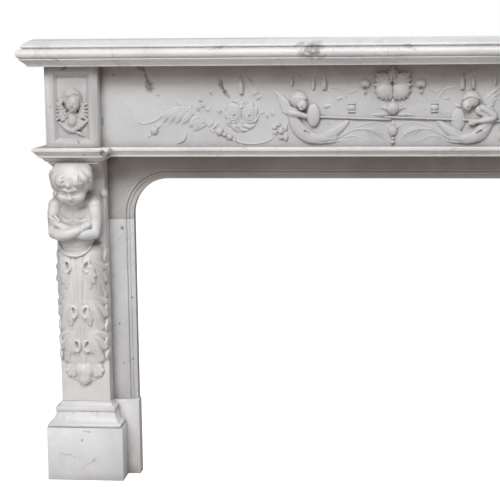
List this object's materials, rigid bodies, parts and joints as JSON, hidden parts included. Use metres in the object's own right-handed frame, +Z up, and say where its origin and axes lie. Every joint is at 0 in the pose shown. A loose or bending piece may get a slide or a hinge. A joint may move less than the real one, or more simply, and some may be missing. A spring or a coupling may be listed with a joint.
{
  "type": "marble fireplace surround",
  "caption": "Carved marble chimneypiece: moulded shelf, relief frieze with winged children and leaves, jambs carved as child herms on leafy stems, round-cornered slips.",
  "frame": {"origin": "on the floor, midway along the shelf and midway between the wall plane and the shelf's front edge", "axes": "+X along the shelf, to the right for someone facing the fire; +Y into the wall; +Z up"},
  "size_m": [2.0402, 0.35, 1.265],
  "materials": {
    "carved_marble": "softly polished white marble with grey veins, warm grime in the carving",
    "moulded_marble": "polished white marble with grey veins",
    "slip_marble": "polished pale grey marble with dark specks"
  },
  "bodies": {
    "root": {"shelf": "moulded_marble", "frieze": "carved_marble", "end_block_left": "carved_marble", "end_block_right": "carved_marble", "capital_left": "moulded_marble", "capital_right": "moulded_marble", "jamb_left": "carved_marble", "jamb_right": "carved_marble", "base_moulding_left": "moulded_marble", "base_moulding_right": "moulded_marble", "plinth_left": "moulded_marble", "plinth_right": "moulded_marble", "slip_header": "slip_marble", "slip_left": "slip_marble", "slip_right": "slip_marble", "slip_plinth_left": "slip_marble", "slip_plinth_right": "slip_marble"}
  },
  "joints": []
}
